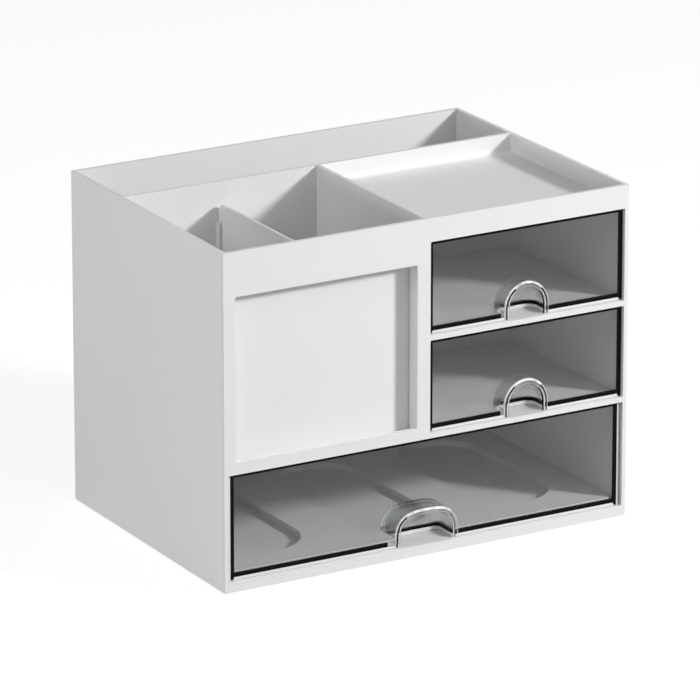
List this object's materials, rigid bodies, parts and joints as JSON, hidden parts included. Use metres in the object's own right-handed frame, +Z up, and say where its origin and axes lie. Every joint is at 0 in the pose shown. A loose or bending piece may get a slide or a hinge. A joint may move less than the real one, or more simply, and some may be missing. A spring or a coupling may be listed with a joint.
{
  "type": "desktop drawer organizer",
  "caption": "White desktop organizer with clear-fronted sliding drawers, a pen bay with a lift-out divider, a rear compartment, a top tray and a picture window.",
  "frame": {"origin": "on the desk, under the middle of the housing's bounding box", "axes": "+X to the right as seen from the front, +Y from the front to the back, +Z up"},
  "size_m": [0.27, 0.188, 0.204],
  "materials": {
    "shell": "fine satin moulded surface",
    "tray": "fine satin moulded surface",
    "clear": "polished clear, smoke tint",
    "pads": "soft matt"
  },
  "bodies": {
    "housing": {"front_frame": "shell", "left_side_wall": "shell", "right_side_wall": "shell", "back_panel": "shell", "base_plate": "shell", "foot_pads": "pads", "deck_plate": "shell", "rear_divider": "shell", "bay_partition": "shell", "bay_shelf": "shell", "tray_floor": "shell", "picture_rail_left": "shell", "picture_rail_right": "shell"},
    "picture_back": {"picture_board": "shell"},
    "pen_splitter": {"pen_divider": "shell"},
    "upper_drawer": {"upper_drawer_tray": "tray", "upper_drawer_front": "clear"},
    "lower_drawer": {"lower_drawer_tray": "tray", "lower_drawer_front": "clear"},
    "wide_drawer": {"wide_drawer_tray": "tray", "wide_drawer_front": "clear"}
  },
  "joints": [
    {"name": "upper_drawer_slide", "type": "slide", "parent": "housing", "child": "upper_drawer", "axis": [0, -1, 0], "range_m": [0, 0.09]},
    {"name": "lower_drawer_slide", "type": "slide", "parent": "housing", "child": "lower_drawer", "axis": [0, -1, 0], "range_m": [0, 0.09]},
    {"name": "wide_drawer_slide", "type": "slide", "parent": "housing", "child": "wide_drawer", "axis": [0, -1, 0], "range_m": [0, 0.135]},
    {"name": "picture_board_lift", "type": "slide", "parent": "housing", "child": "picture_back", "axis": [0, 0, 1], "range_m": [0, 0.122]},
    {"name": "pen_divider_lift", "type": "slide", "parent": "housing", "child": "pen_splitter", "axis": [0, 0, 1], "range_m": [0, 0.106]}
  ]
}
